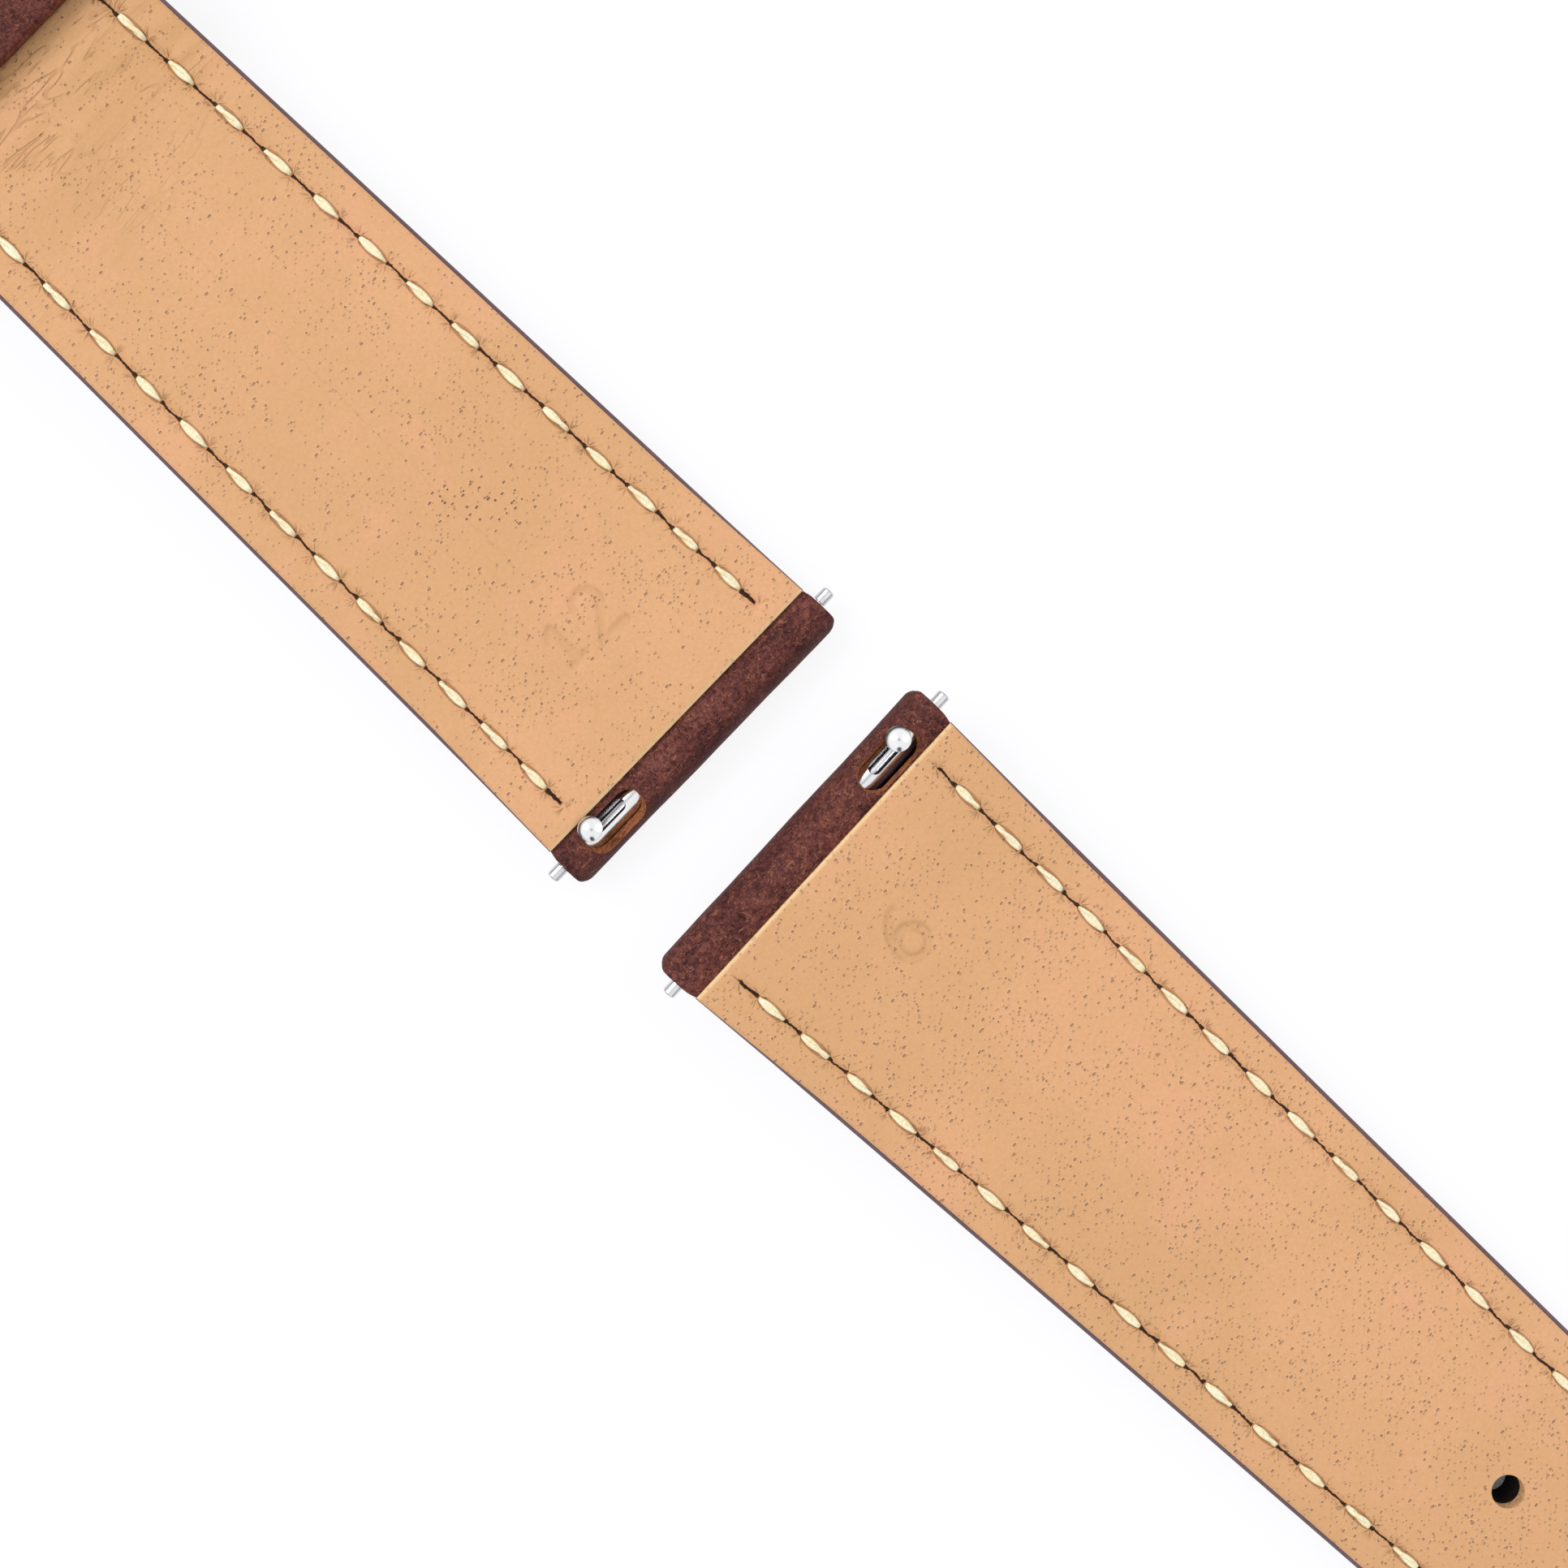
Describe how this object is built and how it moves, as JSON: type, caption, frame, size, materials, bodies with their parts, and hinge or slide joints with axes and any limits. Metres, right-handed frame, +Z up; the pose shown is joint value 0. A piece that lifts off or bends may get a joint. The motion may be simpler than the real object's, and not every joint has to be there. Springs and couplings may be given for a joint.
{
  "type": "watch strap",
  "caption": "Two-piece leather watch strap with quick-release spring bars, pin buckle, keepers and punched holes, lying lining side up.",
  "frame": {"origin": "on the table, midway along the whole strap and midway across it", "axes": "+Z up out of the lining, +Y along the strap towards the buckle, +X across it"},
  "size_m": [0.0241, 0.217, 0.0093],
  "materials": {
    "brown_leather": "dark brown waxed grain leather, mottled",
    "tan_leather": "smooth tan lining leather",
    "keeper_leather": "dark brown leather, folded strip",
    "stiffener": "raw bonded leather board",
    "cream_thread": "waxed cream thread",
    "buckle_steel": "satin steel, polished edges",
    "bar_steel": "drawn steel tube",
    "pin_steel": "polished turned steel",
    "knob_steel": "polished steel",
    "spring_steel": "spring wire"
  },
  "bodies": {
    "buckle_half": {"buckle_half_upper_leather": "brown_leather", "buckle_half_filler": "stiffener", "buckle_half_lining": "tan_leather", "buckle_half_right_thread": "cream_thread", "buckle_half_left_thread": "cream_thread", "fixed_keeper": "keeper_leather"},
    "free_keeper": {"free_keeper": "keeper_leather", "free_keeper_thread": "cream_thread"},
    "buckle_frame": {"buckle_frame": "buckle_steel"},
    "buckle_tongue": {"buckle_tongue": "buckle_steel"},
    "buckle_bar": {"buckle_bar_tube": "bar_steel", "buckle_bar_spring": "spring_steel"},
    "buckle_bar_right_tip": {"buckle_bar_right_plunger": "pin_steel"},
    "buckle_bar_left_tip": {"buckle_bar_left_plunger": "pin_steel"},
    "hole_half": {"hole_half_upper_leather": "brown_leather", "hole_half_filler": "stiffener", "hole_half_lining": "tan_leather", "hole_half_thread": "cream_thread"},
    "buckle_half_lug_bar": {"buckle_half_lug_bar_tube": "bar_steel", "buckle_half_lug_bar_spring": "spring_steel"},
    "buckle_half_lever": {"buckle_half_lever_plunger": "pin_steel", "buckle_half_release_knob": "knob_steel"},
    "buckle_half_plain_tip": {"buckle_half_plain_plunger": "pin_steel"},
    "hole_half_lug_bar": {"hole_half_lug_bar_tube": "bar_steel", "hole_half_lug_bar_spring": "spring_steel"},
    "hole_half_lever": {"hole_half_lever_plunger": "pin_steel", "hole_half_release_knob": "knob_steel"},
    "hole_half_plain_tip": {"hole_half_plain_plunger": "pin_steel"}
  },
  "joints": [
    {"name": "hole_half_apart", "type": "slide", "parent": "buckle_half", "child": "hole_half", "axis": [0, -1, 0], "range_m": [0, 0.04]},
    {"name": "buckle_half_lug_bar_turn", "type": "hinge", "parent": "buckle_half", "child": "buckle_half_lug_bar", "pos_m": [0, 0.01904, 0.00175], "axis": [-1, 0, 0], "range_deg": [-30, 3]},
    {"name": "buckle_half_lever_pull", "type": "slide", "parent": "buckle_half_lug_bar", "child": "buckle_half_lever", "axis": [1, 0, 0], "range_m": [0, 0.0018], "stiffness_N_per_m": 400, "springref_m": -0.004, "deforming": ["buckle_half_lug_bar_spring"]},
    {"name": "buckle_half_plain_tip_push", "type": "slide", "parent": "buckle_half_lug_bar", "child": "buckle_half_plain_tip", "axis": [-1, 0, 0], "range_m": [0, 0.0012], "stiffness_N_per_m": 400, "springref_m": -0.004, "deforming": ["buckle_half_lug_bar_spring"]},
    {"name": "hole_half_lug_bar_turn", "type": "hinge", "parent": "hole_half", "child": "hole_half_lug_bar", "pos_m": [0.00011, 0.00954, 0.00438], "axis": [0.9997, 0.0227, 0], "range_deg": [-12, 15]},
    {"name": "hole_half_lever_pull", "type": "slide", "parent": "hole_half_lug_bar", "child": "hole_half_lever", "axis": [-0.9997, -0.0227, 0], "range_m": [0, 0.0018], "stiffness_N_per_m": 400, "springref_m": -0.004, "deforming": ["hole_half_lug_bar_spring"]},
    {"name": "hole_half_plain_tip_push", "type": "slide", "parent": "hole_half_lug_bar", "child": "hole_half_plain_tip", "axis": [0.9997, 0.0227, 0], "range_m": [0, 0.0012], "stiffness_N_per_m": 400, "springref_m": -0.004, "deforming": ["hole_half_lug_bar_spring"]},
    {"name": "buckle_bar_turn", "type": "hinge", "parent": "buckle_half", "child": "buckle_bar", "pos_m": [0, 0.09607, 0.0075], "axis": [1, 0, 0], "continuous": true},
    {"name": "buckle_bar_right_tip_push", "type": "slide", "parent": "buckle_bar", "child": "buckle_bar_right_tip", "axis": [-1, 0, 0], "range_m": [0, 0.0012], "stiffness_N_per_m": 400, "springref_m": -0.003, "deforming": ["buckle_bar_spring"]},
    {"name": "buckle_bar_left_tip_push", "type": "slide", "parent": "buckle_bar", "child": "buckle_bar_left_tip", "axis": [1, 0, 0], "range_m": [0, 0.0012], "stiffness_N_per_m": 400, "springref_m": -0.003, "deforming": ["buckle_bar_spring"]},
    {"name": "buckle_frame_swing", "type": "hinge", "parent": "buckle_half", "child": "buckle_frame", "pos_m": [0, 0.09607, 0.0075], "axis": [1, 0, 0], "range_deg": [-30, 110]},
    {"name": "buckle_tongue_swing", "type": "hinge", "parent": "buckle_frame", "child": "buckle_tongue", "pos_m": [0, 0.09607, 0.0075], "axis": [1, 0, 0], "range_deg": [-60, 0]},
    {"name": "free_keeper_slide", "type": "slide", "parent": "buckle_half", "child": "free_keeper", "axis": [0, 0.9971, 0.0764], "range_m": [-0.011, 0.0008]}
  ]
}
